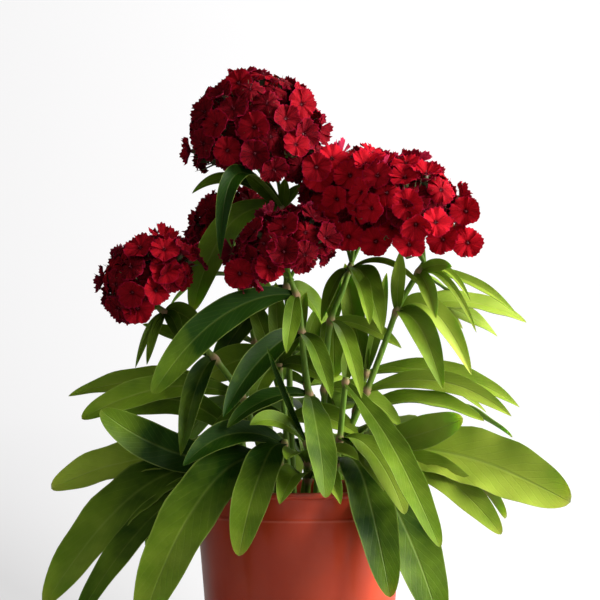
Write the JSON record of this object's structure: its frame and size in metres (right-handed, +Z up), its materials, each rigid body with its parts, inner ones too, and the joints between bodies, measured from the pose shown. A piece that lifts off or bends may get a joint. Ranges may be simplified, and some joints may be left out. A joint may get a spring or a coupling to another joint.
{
  "type": "dianthus plant",
  "caption": "Sweet william in a round plastic nursery pot, with long arching leaves in opposite pairs and dense domed heads of small crimson flowers.",
  "frame": {"origin": "centre of the pot's underside, on the surface that it stands on", "axes": "+Z up along the pot's axis, -Y towards the plant's front, +X to the right of someone facing that front"},
  "size_m": [0.317, 0.232, 0.3693],
  "materials": {
    "pot": "terracotta red, semi-gloss, moulded",
    "soil": "dark peat and bark compost, crumbly and matt",
    "foliage": "smooth mid-green leaf, soft sheen, paler below",
    "petals": "velvety deep crimson petals with fringed edges"
  },
  "bodies": {
    "root": {"pot": "pot", "soil": "soil", "stem_top": "foliage", "stem_centre": "foliage", "stem_right": "foliage", "stem_front": "foliage", "stem_left": "foliage", "stem_back": "foliage", "head_top": "petals", "head_centre": "petals", "head_right": "petals", "head_front": "petals", "head_left": "petals", "head_back": "petals", "shoot_left": "foliage", "shoot_front_left": "foliage", "shoot_front": "foliage", "shoot_middle": "foliage", "shoot_front_right": "foliage", "shoot_right": "foliage", "shoot_back_right": "foliage", "shoot_back": "foliage", "shoot_back_left": "foliage"}
  },
  "joints": []
}
